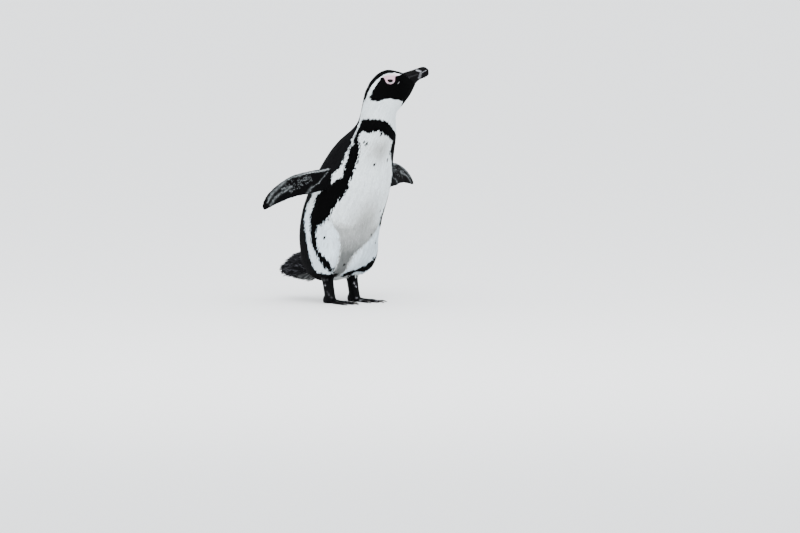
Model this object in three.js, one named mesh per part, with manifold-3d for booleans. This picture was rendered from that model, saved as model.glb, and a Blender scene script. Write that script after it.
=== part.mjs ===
// African penguin (Spheniscus demersus), adult, standing on both feet with its flippers held
// out and back and its head turned to its left: a life-size still figure.
//
// Millimetres, +Z up. The body faces -Y and +X is the bird's left. The soles lie on Z = 0, and
// the origin is on the floor under the middle of the figure's bounding box.
//
// The body is one run of oval sections from the vent to the base of the bill. It is parted at
// the base of the neck and behind the jaw. Legs, flippers and tail are lofts of their own that
// are cut back to the trunk, so every piece meets its neighbour across a narrow gap.

import * as THREE from "three";
import { mergeVertices } from "three/addons/utils/BufferGeometryUtils.js";
import Module from "manifold-3d";

const wasm = await Module();
wasm.setup();

// ---------------------------------------------------------------- driving dimensions, in mm
const gap = 0.3;               // clearance between pieces that touch
const neckAhead = 144;         // how far the neck's upright axis stands ahead of the hips
const headTurn = 48;           // how far the head looks to the bird's left, in degrees
const bodySides = 32;          // flat sides of each body section
const bodyFullness = 2.12;     // 2 gives plain ovals, and more gives squarer ones

// Sections of the body from the vent up. "ahead" and "up" place the middle of a section, "lean"
// tilts its plane forward (degrees), "depth" and "width" are its half sizes from back to front
// and from side to side, and "turn" swings it about the neck's axis (degrees).
const bodySections = {
  vent:       { ahead: -14, up: 54,  lean: -4, depth: 34,   width: 42,   turn: 0 },
  hips:       { ahead: -9,  up: 78,  lean: 4,  depth: 62,   width: 66,   turn: 0 },
  lowBelly:   { ahead: 3,   up: 104, lean: 9,  depth: 76,   width: 79,   turn: 0 },
  belly:      { ahead: 11,  up: 140, lean: 11, depth: 84,   width: 87,   turn: 0 },
  waist:      { ahead: 20,  up: 184, lean: 18, depth: 84,   width: 88,   turn: 0 },
  lowBreast:  { ahead: 39,  up: 226, lean: 25, depth: 82,   width: 86,   turn: 0 },
  breast:     { ahead: 62,  up: 268, lean: 28, depth: 78,   width: 82,   turn: 0 },
  shoulders:  { ahead: 85,  up: 309, lean: 29, depth: 70,   width: 75,   turn: 0 },
  throatBand: { ahead: 102, up: 339, lean: 30, depth: 60,   width: 64,   turn: 0 },
  collar:     { ahead: 124, up: 367, lean: 27, depth: 50,   width: 52,   turn: 0 },
  lowNeck:    { ahead: 139, up: 394, lean: 19, depth: 43.5, width: 44,   turn: 5 },
  neck:       { ahead: 144, up: 423, lean: 22, depth: 40.5, width: 38.5, turn: 18 },
  nape:       { ahead: 149, up: 451, lean: 35, depth: 43,   width: 32.5, turn: 35 },
  jaw:        { ahead: 164, up: 472, lean: 48, depth: 44.5, width: 28.5, turn: 46 },
  cheek:      { ahead: 175.5, up: 483, lean: 52, depth: 42.5, width: 26, turn: 48 },
  brow:       { ahead: 187, up: 490.5, lean: 53, depth: 38, width: 23.2, turn: 48 },
  lores:      { ahead: 197, up: 495, lean: 51, depth: 31,   width: 19.4, turn: 48 },
  chin:       { ahead: 205, up: 499, lean: 46, depth: 24,   width: 15,   turn: 48 },
  billBase:   { ahead: 212, up: 503, lean: 36, depth: 18.3, width: 11.2, turn: 48 },
};

// Sections of the closed bill, in the same terms, from its base to the point of the hook.
const billSections = [
  { ahead: 212.4, up: 503.2, lean: 36, depth: 18.0, width: 10.8 },
  { ahead: 220.6, up: 507.0, lean: 44, depth: 15.0, width: 9.2 },
  { ahead: 228.5, up: 510.2, lean: 54, depth: 13.0, width: 7.8 },
  { ahead: 236.6, up: 513.2, lean: 64, depth: 12.5, width: 7.0 },
  { ahead: 243.9, up: 515.8, lean: 71, depth: 11.8, width: 6.2 },
  { ahead: 249.9, up: 515.8, lean: 81, depth: 9.2,  width: 4.8 },
  { ahead: 253.8, up: 514.6, lean: 88, depth: 4.6,  width: 2.4 },
];

// The line where the two halves of the bill meet, as (ahead, up), from the gape to below the hook.
const mouthLine = [
  [199, 499], [210, 503.5], [221, 507.8], [230, 509.5], [237, 508.2], [243.5, 504.5], [250, 499],
];

// The eyeballs: "out" is how far their middles stand to each side of the head's middle plane.
const eye = { ahead: 169, up: 497.5, out: 15.3, radius: 9.5 };

// A flipper, seen flat: "along" runs from the shoulder to the tip, "lead" and "trail" are how far
// the two edges stand from that line, and "thick" is the blade's half thickness.
const flipperSections = [
  { along: 0,   lead: 6,    trail: -36,  thick: 9 },
  { along: 26,  lead: 18,   trail: -31,  thick: 8.2 },
  { along: 52,  lead: 28,   trail: -24,  thick: 7 },
  { along: 80,  lead: 37,   trail: -16,  thick: 5.8 },
  { along: 100, lead: 40,   trail: -8,   thick: 5 },
  { along: 124, lead: 38.5, trail: -2,   thick: 4.2 },
  { along: 146, lead: 35,   trail: 0.5,  thick: 3.4 },
  { along: 163, lead: 29,   trail: 2,    thick: 2.7 },
  { along: 175, lead: 21,   trail: 2.5,  thick: 2.1 },
  { along: 182, lead: 13,   trail: 5,    thick: 1.5 },
];
const flipperPose = {
  right: { side: 66, ahead: 78, up: 300, toTip: [-123, 100, -94], lead: [-0.29, 0.34, 0.89] },
  left:  { side: 66, ahead: 78, up: 287, toTip: [150, 66, -42],   lead: [0.1, 0.34, 0.9] },
};

// The tail: a stiff wedge of feathers under thick coverts, bent a little to the bird's right.
const tailSections = [
  { side: 0,   back: 30,  up: 92, height: 34, width: 50 },
  { side: -4,  back: 60,  up: 85, height: 40, width: 48 },
  { side: -9,  back: 84,  up: 79, height: 34, width: 43 },
  { side: -14, back: 106, up: 73, height: 24, width: 36 },
  { side: -18, back: 124, up: 68, height: 13, width: 27 },
  { side: -21, back: 137, up: 65, height: 4,  width: 15 },
];

// Legs and feet. "side" is the distance of an ankle from the middle of the body.
const leg = {
  side: 36,
  thigh: { ahead: 30, up: 124, side: 49, width: 34, depth: 45, height: 64 },
  shankTop: { ahead: 10, up: 76, width: 17, depth: 18 },
  shankFoot: { ahead: 24, up: 12, width: 11.5, depth: 13 },
  ankleCut: 17,
};
const foot = {
  yaw: { right: 9, left: 12 },      // degrees towards the bird's left
  heel: { width: 13, length: 16, height: 15, back: 2, up: 7 },
  toes: [
    { name: "inner",  spread: -21, length: 54, width: 6.2, height: 9.5 },
    { name: "middle", spread: 0,   length: 67, width: 6.8, height: 10.5 },
    { name: "outer",  spread: 21,  length: 61, width: 6.4, height: 9.5 },
  ],
  hallux: { spread: -62, length: 21, width: 3.8, height: 7 },
  web: { reach: 0.9, dip: 0.8, thick: 3.2 },
  claw: { length: 14, width: 3, height: 2.3 },
};

// ---------------------------------------------------------------- geometry helpers
const radians = THREE.MathUtils.degToRad;
const vec = (x, y, z) => new THREE.Vector3(x, y, z);

// Uniform spline through one named value of a list of sections.
function splineOf(sections, name) {
  return new THREE.SplineCurve(sections.map((section, k) => new THREE.Vector2(k, section[name])));
}

// A function that gives every named value of the sections at a fraction of the run.
function along(sections, names) {
  const curves = names.map((name) => splineOf(sections, name));
  return (fraction) => Object.fromEntries(names.map((name, k) => [name, curves[k].getPoint(fraction).y]));
}

// Closed ring of points: an oval, or a fuller one where "power" is above 2.
function ring(centre, across, down, sides, power = 2) {
  const swell = (value) => Math.sign(value) * Math.abs(value) ** (2 / power);
  return Array.from({ length: sides }, (_, k) => {
    const angle = (2 * Math.PI * k) / sides;
    return centre.clone()
      .addScaledVector(across, swell(Math.cos(angle)))
      .addScaledVector(down, swell(Math.sin(angle)));
  });
}

// Closed solid through a run of rings, with a fan over each end.
function loft(rings) {
  const sides = rings[0].length;
  const points = rings.flat();
  const faces = [];
  for (let row = 0; row < rings.length - 1; row++) {
    for (let k = 0; k < sides; k++) {
      const here = row * sides + k;
      const next = row * sides + ((k + 1) % sides);
      faces.push(here, next, next + sides, here, next + sides, here + sides);
    }
  }
  for (const [row, flip] of [[0, true], [rings.length - 1, false]]) {
    const middle = rings[row].reduce((sum, point) => sum.add(point), vec(0, 0, 0)).divideScalar(sides);
    points.push(middle);
    for (let k = 0; k < sides; k++) {
      const here = row * sides + k;
      const next = row * sides + ((k + 1) % sides);
      faces.push(...(flip ? [next, here, points.length - 1] : [here, next, points.length - 1]));
    }
  }
  const geometry = new THREE.BufferGeometry().setFromPoints(points);
  geometry.setIndex(faces);
  return facingOut(geometry);
}

// Turns the faces round if the solid is inside out.
function facingOut(geometry) {
  const at = geometry.getAttribute("position");
  const index = geometry.getIndex().array;
  const corner = (k) => new THREE.Vector3().fromBufferAttribute(at, index[k]);
  let volume = 0;
  for (let k = 0; k < index.length; k += 3) {
    volume += corner(k).dot(corner(k + 1).cross(corner(k + 2)));
  }
  if (volume < 0) {
    for (let k = 0; k < index.length; k += 3) {
      [index[k], index[k + 1]] = [index[k + 1], index[k]];
    }
  }
  return geometry;
}

function toSolid(geometry) {
  const bare = geometry.clone();
  bare.deleteAttribute("normal");
  bare.deleteAttribute("uv");
  const merged = mergeVertices(bare, 1e-4);
  return new wasm.Manifold(new wasm.Mesh({
    numProp: 3,
    vertProperties: new Float32Array(merged.getAttribute("position").array),
    triVerts: new Uint32Array(merged.getIndex().array),
  }));
}

function toGeometry(solid) {
  const mesh = solid.getMesh();
  const geometry = new THREE.BufferGeometry();
  geometry.setAttribute("position", new THREE.BufferAttribute(new Float32Array(mesh.vertProperties), 3));
  geometry.setIndex(new THREE.BufferAttribute(new Uint32Array(mesh.triVerts), 1));
  return geometry;
}

// A list of rows + 1 things, each made from its fraction of the way along.
function steps(rows, make) {
  return Array.from({ length: rows + 1 }, (_, row) => make(row / rows));
}

const union = (solids) => solids.reduce((whole, next) => whole.add(next));
const bySize = (one, other) => other.volume() - one.volume();
const largest = (solid) => solid.decompose().sort(bySize)[0];

function box(width, depth, height, x, y, z) {
  return toSolid(new THREE.BoxGeometry(width, depth, height).translate(x, y, z));
}

// ---------------------------------------------------------------- trunk, neck and head
const names = ["ahead", "up", "lean", "depth", "width", "turn"];
const sections = Object.values(bodySections);
const bodyAt = along(sections, names);
const fractionOf = (name) => Object.keys(bodySections).indexOf(name) / (sections.length - 1);

// The axes of a section: its middle, its half width to the bird's left, its half depth forward.
function sectionFrame({ ahead, up, lean, depth, width, turn }) {
  const swing = radians(turn);
  const tilt = radians(lean);
  const forward = vec(Math.sin(swing), -Math.cos(swing), 0);
  const centre = vec(0, -neckAhead, up).addScaledVector(forward, ahead - neckAhead);
  const across = vec(Math.cos(swing), Math.sin(swing), 0).multiplyScalar(width);
  const down = forward.clone().multiplyScalar(Math.cos(tilt) * depth);
  down.z = -Math.sin(tilt) * depth;
  return { centre, across, down };
}

function bodyRing(fraction) {
  const { centre, across, down } = sectionFrame(bodyAt(fraction));
  return ring(centre, across, down, bodySides, bodyFullness);
}

// One stretch of the body between two fractions of its run.
function bodyStretch(from, to, rows) {
  return toSolid(loft(steps(rows, (share) => bodyRing(from + (to - from) * share))));
}

const neckStart = fractionOf("collar");
const headStart = fractionOf("nape") + 0.4 / (sections.length - 1);
const slip = gap / 30 / (sections.length - 1);    // neighbouring sections are about 30 mm apart

const ventRings = [0.45, 0.8].map((shrink, k) => {
  const { centre, across, down } = sectionFrame(bodyAt(0));
  centre.z -= [9, 5][k];
  return ring(centre, across.multiplyScalar(shrink), down.multiplyScalar(shrink), bodySides, bodyFullness);
});
const trunkRings = steps(19, (share) => bodyRing((neckStart - slip) * share));
const wholeTrunk = toSolid(loft([...ventRings, ...trunkRings]));
const neck = bodyStretch(neckStart + slip, headStart - slip, 7);
const wholeHead = bodyStretch(headStart + slip, 1, 13);

// ---------------------------------------------------------------- bill, split along the mouth
const billAt = along(billSections, ["ahead", "up", "lean", "depth", "width"]);
const bill = toSolid(loft(steps(11, (share) => {
  const { centre, across, down } = sectionFrame({ ...billAt(share), turn: headTurn });
  return ring(centre, across, down, 18, 2.2);
})));

// A point of the head's upright middle plane, moved sideways by "out".
function onHead(ahead, up, out = 0) {
  return sectionFrame({ ahead, up, lean: 0, depth: 1, width: 1, turn: headTurn }).centre
    .add(vec(Math.cos(radians(headTurn)), Math.sin(radians(headTurn)), 0).multiplyScalar(out));
}

const mouthCurve = new THREE.SplineCurve(mouthLine.map(([ahead, up]) => new THREE.Vector2(ahead, up)));
const mouthSlit = toSolid(loft(mouthCurve.getPoints(10).map(({ x, y }) => {
  const half = (gap + 0.1) / 2;
  const corners = [[-half, -20], [half, -20], [half, 20], [-half, 20]];
  return corners.map(([rise, out]) => onHead(x, y + rise, out));
})));
const headForward = onHead(1, 0).sub(onHead(0, 0));
const headFront = wholeHead.translate([headForward.x * gap, headForward.y * gap, 0]);
const billHalves = bill.subtract(headFront).subtract(mouthSlit).decompose()
  .sort(bySize)
  .slice(0, 2)
  .sort((one, other) => other.boundingBox().max[2] - one.boundingBox().max[2]);

// ---------------------------------------------------------------- eyes in their sockets
function eyeball(side, radius) {
  const centre = onHead(eye.ahead, eye.up, side * eye.out);
  return toSolid(new THREE.SphereGeometry(radius, 12, 8).translate(centre.x, centre.y, centre.z));
}
const head = wholeHead.subtract(eyeball(1, eye.radius + gap)).subtract(eyeball(-1, eye.radius + gap));

// ---------------------------------------------------------------- flippers
const flipperAt = along(flipperSections, ["along", "lead", "trail", "thick"]);

function flipper(side) {
  const pose = side > 0 ? flipperPose.left : flipperPose.right;
  const out = vec(...pose.toTip).normalize();
  const lead = vec(...pose.lead);
  lead.addScaledVector(out, -lead.dot(out)).normalize();
  const flat = out.clone().cross(lead);
  const root = vec(side * pose.side, -pose.ahead, pose.up);
  return toSolid(loft(steps(14, (share) => {
    const at = flipperAt(share);
    const middle = (at.lead + at.trail) / 2;
    const centre = root.clone().addScaledVector(out, at.along).addScaledVector(lead, middle);
    const chord = lead.clone().multiplyScalar((at.lead - at.trail) / 2);
    return ring(centre, chord, flat.clone().multiplyScalar(at.thick), 16);
  })));
}

// What is left of a piece once its neighbour, grown by the gap on the sides that meet it, is
// taken away.
function fitTo(piece, neighbour, shifts) {
  return largest(shifts.reduce((left, shift) => left.subtract(neighbour.translate(shift)), piece));
}

// ---------------------------------------------------------------- tail
const tailAt = along(tailSections, ["side", "back", "up", "height", "width"]);
const wholeTail = toSolid(loft(steps(9, (share) => {
  const at = tailAt(share);
  return ring(vec(at.side, at.back, at.up), vec(at.width, 0.16 * at.width, 0), vec(0, 0, at.height), 20);
})));

// ---------------------------------------------------------------- legs and feet
function thigh(side, grow) {
  const { ahead, up, width, depth, height } = leg.thigh;
  return toSolid(new THREE.SphereGeometry(1, 20, 12)
    .scale(width + grow, depth + grow, height + grow)
    .translate(side * leg.thigh.side, -ahead, up));
}

function shank(side, grow = 0) {
  return toSolid(loft(steps(5, (share) => {
    const mix = (name) => THREE.MathUtils.lerp(leg.shankTop[name], leg.shankFoot[name], share);
    const pinch = 1 - 0.16 * Math.sin(Math.PI * share);
    const across = vec(mix("width") * pinch + grow, 0, 0);
    const down = vec(0, -mix("depth") * pinch - grow, 0);
    return ring(vec(side * leg.side, -mix("ahead"), mix("up")), across, down, 14);
  })));
}

// A toe lies along its own direction: three knuckles, a flat sole, and a blunt end.
function toe({ spread, length, width, height }) {
  const heading = vec(Math.sin(radians(spread)), -Math.cos(radians(spread)), 0);
  const across = vec(heading.y, -heading.x, 0);
  return toSolid(loft(steps(7, (share) => {
    const knuckle = 1 + 0.1 * Math.cos(6 * Math.PI * share);
    const taper = (1 - 0.42 * share) * knuckle;
    const tall = height * (1 - 0.52 * share) * knuckle;
    const centre = heading.clone().multiplyScalar(length * share);
    centre.z = tall * 0.3;
    return ring(centre, across.clone().multiplyScalar(width * taper), vec(0, 0, tall * 0.7), 8);
  })));
}

// The web between two toes: a thin plate with a hollow front edge.
function web(one, other) {
  const end = ({ spread, length }, reach) => new THREE.Vector2(
    Math.sin(radians(spread)) * length * reach, -Math.cos(radians(spread)) * length * reach);
  const { reach, dip, thick } = foot.web;
  const first = end(one, reach);
  const last = end(other, reach);
  const between = { spread: (one.spread + other.spread) / 2, length: (one.length + other.length) / 2 };
  const hollow = end(between, dip);
  const outline = new THREE.Shape([new THREE.Vector2(0, 6), first]);
  outline.quadraticCurveTo(hollow.x, hollow.y, last.x, last.y);
  outline.closePath();
  const plate = { depth: thick, bevelEnabled: false, curveSegments: 5 };
  return toSolid(new THREE.ExtrudeGeometry(outline, plate));
}

// A claw curves down to the floor just past the blunt end of its toe.
function claw({ spread, length, width, height }) {
  const heading = vec(Math.sin(radians(spread)), -Math.cos(radians(spread)), 0);
  const across = vec(heading.y, -heading.x, 0);
  const size = width / foot.toes[1].width;
  return toSolid(loft(steps(4, (share) => {
    const taper = Math.sqrt(1 - 0.92 * share);
    const tall = foot.claw.height * taper * size;
    const centre = heading.clone().multiplyScalar(length + gap + foot.claw.length * size * share);
    centre.z = tall + height * 0.12 * (1 - share ** 2);
    return ring(centre, across.clone().multiplyScalar(foot.claw.width * taper * size), vec(0, 0, tall), 8);
  })));
}

// Foot, toes and claws about the ankle, then turned and set under the leg.
function footPieces(side) {
  const toes = foot.toes.map((each) => ({ ...each, spread: each.spread * side }));
  const hallux = { ...foot.hallux, spread: foot.hallux.spread * side };
  const yaw = side > 0 ? foot.yaw.left : foot.yaw.right;
  const set = (solid) => solid.rotate([0, 0, yaw]).translate([side * leg.side, -leg.shankFoot.ahead, 0]);
  const { width, length, height, back, up } = foot.heel;
  const heel = toSolid(new THREE.SphereGeometry(1, 14, 8)
    .scale(width, length, height)
    .translate(0, back, up));
  const under = box(400, 400, 60, 0, 0, -30);
  const webs = [web(toes[0], toes[1]), web(toes[1], toes[2])];
  const whole = union([heel, ...webs, ...[...toes, hallux].map((each) => toe(each))]);
  return { whole: set(whole.subtract(under)), claws: [...toes, hallux].map((each) => set(claw(each))) };
}

// A leg is the feathered thigh with the bare shank below it, parted from the foot at the ankle.
function limb(side) {
  const { whole, claws } = footPieces(side);
  const below = box(400, 400, 100, 0, 0, leg.ankleCut - gap / 2 - 50);
  const above = box(400, 400, 400, 0, 0, leg.ankleCut + gap / 2 + 200);
  const limbSolid = union([thigh(side, 0), shank(side), whole]);
  const footSolid = largest(limbSolid.intersect(below));
  return { leg: largest(limbSolid.intersect(above)), foot: footSolid, claws };
}

const limbs = { right: limb(-1), left: limb(1) };

// ---------------------------------------------------------------- fitting the pieces together
const trunk = largest(wholeTrunk
  .subtract(thigh(1, gap))
  .subtract(thigh(-1, gap))
  .subtract(shank(1, gap))
  .subtract(shank(-1, gap)));
const tailBesideThighs = wholeTail.subtract(thigh(1, gap)).subtract(thigh(-1, gap));
const tail = fitTo(tailBesideThighs, wholeTrunk, [[0, gap, 0], [0, 0, -gap]]);
const flippers = Object.fromEntries([["right", -1], ["left", 1]].map(([name, side]) => [
  name, fitTo(flipper(side), wholeTrunk, [[side * gap, 0, 0], [0, gap, 0], [0, 0, -gap]]),
]));

const plumage = { roughness: 0.75, metalness: 0 };
const horn = { roughness: 0.35, metalness: 0 };
const finishes = {
  black: { color: 0x1b1b1d, ...plumage },
  white: { color: 0xe9e8e4, ...plumage },
  skin: { color: 0x1d1c1c, roughness: 0.55, metalness: 0 },
  bill: { color: 0x141416, ...horn },
  claw: { color: 0x2a2522, ...horn },
  eye: { color: 0x1a0f0a, roughness: 0.05, metalness: 0 },
};

const pieces = [
  ["trunk", trunk, "white"],
  ["neck", neck, "white"],
  ["head", head, "black"],
  ["bill_upper", billHalves[0], "bill"],
  ["bill_lower", billHalves[1], "bill"],
  ["eye_right", eyeball(-1, eye.radius), "eye"],
  ["eye_left", eyeball(1, eye.radius), "eye"],
  ["tail", tail, "black"],
];
for (const name of ["right", "left"]) {
  pieces.push([`flipper_${name}`, flippers[name], "black"]);
  pieces.push([`leg_${name}`, limbs[name].leg, "white"]);
  pieces.push([`foot_${name}`, limbs[name].foot, "skin"]);
  const toeNames = [...foot.toes.map((each) => each.name), "hallux"];
  toeNames.forEach((toeName, k) => pieces.push([`claw_${name}_${toeName}`, limbs[name].claws[k], "claw"]));
}

const penguin = new THREE.Group();
for (const [name, solid, finish] of pieces) {
  const mesh = new THREE.Mesh(toGeometry(solid), new THREE.MeshStandardMaterial(finishes[finish]));
  mesh.name = name;
  penguin.add(mesh);
}

// The origin goes on the floor under the middle of the figure's box.
const bounds = new THREE.Box3().setFromObject(penguin);
const middle = bounds.getCenter(new THREE.Vector3());
penguin.position.set(-middle.x, -middle.y, -bounds.min.z);

export default penguin;
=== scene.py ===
# An adult African penguin, standing upright with its flippers held out, built feather by feather
# over one skin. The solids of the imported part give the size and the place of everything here.

import math
from contextlib import contextmanager

import bpy
import numpy as np
from mathutils import Matrix, Vector
from mathutils.bvhtree import BVHTree


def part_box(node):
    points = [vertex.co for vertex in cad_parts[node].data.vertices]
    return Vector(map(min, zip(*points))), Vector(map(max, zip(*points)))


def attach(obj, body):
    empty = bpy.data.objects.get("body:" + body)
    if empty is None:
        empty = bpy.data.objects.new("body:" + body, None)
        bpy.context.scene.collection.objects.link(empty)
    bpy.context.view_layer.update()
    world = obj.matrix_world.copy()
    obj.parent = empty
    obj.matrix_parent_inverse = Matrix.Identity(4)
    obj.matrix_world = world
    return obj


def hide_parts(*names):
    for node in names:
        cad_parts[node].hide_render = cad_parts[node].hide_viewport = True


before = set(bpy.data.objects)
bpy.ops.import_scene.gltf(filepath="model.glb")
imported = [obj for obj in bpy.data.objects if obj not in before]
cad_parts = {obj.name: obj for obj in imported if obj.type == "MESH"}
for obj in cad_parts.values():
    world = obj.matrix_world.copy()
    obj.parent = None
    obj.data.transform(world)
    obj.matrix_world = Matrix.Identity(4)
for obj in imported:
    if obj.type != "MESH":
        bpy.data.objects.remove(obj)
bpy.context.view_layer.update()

# ------------------------------------------------------------------ the bird's place and the view
# Sizes are in millimetres from the floor point between the hips: x to the bird's left, y behind it
# and z up. "Ahead" is the same as minus y. The view is that of a very long lens, far off and a
# little above the bird, to its right.

trunk_low, trunk_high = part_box("trunk")
thigh_low, thigh_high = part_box("leg_right")
thigh_ahead = 30          # from the hips to the middle of the thighs
hips = Vector((
    (trunk_low.x + trunk_high.x) / 2,
    (thigh_low.y + thigh_high.y) / 2 + thigh_ahead / 1000,
    0,
))

view_turn = math.radians(-42)
view_lift = math.radians(5)
view_right = Vector((math.cos(view_turn), math.sin(view_turn), 0))
view_back = Vector((
    math.sin(view_turn) * math.cos(view_lift),
    -math.cos(view_turn) * math.cos(view_lift),
    math.sin(view_lift),
))
view_up = view_back.cross(view_right)
aim_right, aim_up, aim_back = 0.143, 0.077, 0.060
lens_distance = 39.112
lens_length, sensor_wide, sight_end = 800, 36, 400

aim = hips + view_right * aim_right + view_up * aim_up + view_back * aim_back
eyepoint = aim + view_back * lens_distance
bpy.ops.object.camera_add()
camera = bpy.context.object
camera.name = "camera"
camera.data.lens = lens_length
camera.data.sensor_width = sensor_wide
camera.data.clip_end = sight_end
camera.matrix_world = Matrix((
    (view_right.x, view_up.x, view_back.x, eyepoint.x),
    (view_right.y, view_up.y, view_back.y, eyepoint.y),
    (view_right.z, view_up.z, view_back.z, eyepoint.z),
    (0, 0, 0, 1),
))
bpy.context.scene.camera = camera

# ------------------------------------------------------------------ the floor and the light
# A plain pale floor that runs past the view's far edge, under an overcast sky: an even pale dome
# and one very large soft lamp, high up in front of the bird and to its right.

floor_side = 240
floor_colour = (0.83, 0.83, 0.82, 1)
sky_colour = (0.93, 0.96, 1.0, 1)
sky_strength = 2.7
lamp_place = (-1.3, -1.6, 2.6)
lamp_size = 2.2
lamp_power = 85


class Paint:
    """One socket of a material's nodes, so that a finish is written as sums of values."""

    def __init__(self, tree, socket=None):
        self.tree = tree
        self.socket = socket

    def node(self, kind, settings=None, sockets=None, output=0):
        made = self.tree.nodes.new(kind)
        for name, value in (settings or {}).items():
            if name == "stops":
                stops = made.color_ramp.elements
                while len(stops) < len(value):
                    stops.new(0.5)
                for stop, (place, colour) in zip(stops, value):
                    stop.position = place
                    stop.color = colour
            else:
                setattr(made, name, value)
        for name, value in (sockets or {}).items():
            if isinstance(value, Paint):
                self.tree.links.new(value.socket, made.inputs[name])
            else:
                made.inputs[name].default_value = value
        return Paint(self.tree, made.outputs[output])

    def math(self, operation, first, second):
        return self.node("ShaderNodeMath", {"operation": operation}, {0: first, 1: second})

    def __add__(self, other):
        return self.math("ADD", self, other)

    def __mul__(self, other):
        return self.math("MULTIPLY", self, other)

    def scaled(self, shade):
        """This colour made darker or lighter by a value."""
        return self.node("ShaderNodeVectorMath", {"operation": "SCALE"}, {0: self, "Scale": shade})


def finish(name, roughness, colour, height=None, relief=0.0004, **settings):
    """A material: colour, roughness and height are functions of its Paint, or plain values."""
    material = bpy.data.materials.new(name)
    material.use_nodes = True
    tree = material.node_tree
    shader = tree.nodes["Principled BSDF"]
    paint = Paint(tree)
    for socket, value in (("Base Color", colour), ("Roughness", roughness)):
        value = value(paint) if callable(value) else value
        if isinstance(value, Paint):
            tree.links.new(value.socket, shader.inputs[socket])
        else:
            shader.inputs[socket].default_value = value
    if height:
        bump = paint.node(
            "ShaderNodeBump", None, {"Strength": 1.0, "Distance": relief, "Height": height(paint)}
        )
        tree.links.new(bump.socket, shader.inputs["Normal"])
    for socket, value in settings.items():
        shader.inputs[socket.replace("_", " ")].default_value = value
    return material


def grain(paint, scale, detail=2.0, kind="ShaderNodeTexNoise"):
    """Noise fixed to the piece, with so many waves in each metre."""
    place = paint.node("ShaderNodeTexCoord", output=3)
    return paint.node(kind, None, {"Vector": place, "Scale": scale, "Detail": detail})


bpy.ops.mesh.primitive_plane_add(size=floor_side)
floor = bpy.context.object
floor.name = "floor"
floor.data.materials.append(finish("pale_floor", 0.9, floor_colour))

world = bpy.data.worlds.new("overcast_sky")
world.use_nodes = True
world.node_tree.nodes["Background"].inputs["Color"].default_value = sky_colour
world.node_tree.nodes["Background"].inputs["Strength"].default_value = sky_strength
bpy.context.scene.world = world

bpy.ops.object.light_add(type="AREA")
lamp = bpy.context.object
lamp.name = "soft_lamp"
lamp.data.shape = "DISK"
lamp.data.size = lamp_size
lamp.data.energy = lamp_power
lamp_at = hips + Vector(lamp_place)
lamp_aim = hips + Vector((0, -0.08, 0.25))
lamp.matrix_world = Matrix.Translation(lamp_at) @ (
    (lamp_aim - lamp_at).to_track_quat("-Z", "Y").to_matrix().to_4x4()
)

# ------------------------------------------------------------------ the skin
# One closed skin over trunk, neck, head, flippers, tail, legs and feet. It is drawn tight over the
# flesh, lies inside the coat's outer face by the coat's depth, and is bare on feet, shanks and
# face.

flesh = (
    "trunk", "neck", "head", "tail", "flipper_right", "flipper_left",
    "leg_right", "leg_left", "foot_right", "foot_left",
)
(
    TRUNK, NECK, HEAD, TAIL, FLIPPER_RIGHT, FLIPPER_LEFT,
    LEG_RIGHT, LEG_LEFT, FOOT_RIGHT, FOOT_LEFT,
) = range(len(flesh))
closing = 0.0004          # each solid grows by this much, so that its neighbours fuse with it
weave = 0.0024            # side of the skin's quads
shank_top = 62            # the height (mm) where a shank's scales end and its feathers begin

# The spine, from vent to bill: how far ahead and how high each of its stations stands, how far the
# body leans forward there, and how far it is turned to the bird's left. The neck turns on an
# upright line that stands so far ahead of the hips.
neck_ahead = 144
spine_stations = np.array((
    (-14, 54, -4, 0), (-9, 78, 4, 0), (3, 104, 9, 0), (11, 140, 11, 0), (20, 184, 18, 0),
    (39, 226, 25, 0), (62, 268, 28, 0), (85, 309, 29, 0), (102, 339, 30, 0), (124, 367, 27, 0),
    (139, 394, 19, 5), (144, 423, 22, 18), (149, 451, 35, 35), (164, 472, 48, 46),
    (175.5, 483, 52, 48), (187, 490.5, 53, 48), (197, 495, 51, 48), (205, 499, 46, 48),
    (212, 503, 36, 48),
), float)


def spine_frames(stations):
    ahead, up, lean, turn = stations.T
    lean, turn = np.radians(lean), np.radians(turn)
    forward = np.stack((np.sin(turn), -np.cos(turn), 0 * turn), 1)
    upright = np.array((0.0, 0.0, 1.0))
    middle = np.array((0.0, -neck_ahead, 0.0)) + forward * (ahead - neck_ahead)[:, None]
    middle[:, 2] = up
    run = forward * np.sin(lean)[:, None] + upright * np.cos(lean)[:, None]
    breast = forward * np.cos(lean)[:, None] - upright * np.sin(lean)[:, None]
    left = np.stack((np.cos(turn), np.sin(turn), 0 * turn), 1)
    return middle, run, breast, left


spine_middle, spine_run, spine_breast, spine_left = spine_frames(spine_stations)
spine_reach = np.concatenate((
    [0], np.cumsum(np.linalg.norm(np.diff(spine_middle, axis=0), axis=1)),
))


def unit(vectors):
    return vectors / np.maximum(np.linalg.norm(vectors, axis=-1, keepdims=True), 1e-9)


def body_chart(points):
    """How far along the spine points lie (mm), their angle round it (degrees, 0 at the breast and
    plus to the left), and the spine's own direction there."""
    offset = ((points[:, None] - spine_middle) * spine_run).sum(2)
    station = np.clip((offset >= 0).sum(1) - 1, 0, len(spine_reach) - 2)
    row = np.arange(len(points))
    before, after = offset[row, station], offset[row, station + 1]
    spread = before - after
    share = np.clip(before / np.where(np.abs(spread) < 1e-6, 1, spread), -2, 3)
    reach = spine_reach[station] + (spine_reach[station + 1] - spine_reach[station]) * share
    near = np.clip(share, 0, 1)[:, None]
    middle, run, breast, left = (
        values[station] * (1 - near) + values[station + 1] * near
        for values in (spine_middle, spine_run, spine_breast, spine_left)
    )
    away = points - middle
    angle = np.degrees(np.arctan2((away * left).sum(1), (away * breast).sum(1)))
    return reach, angle, unit(run)


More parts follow.
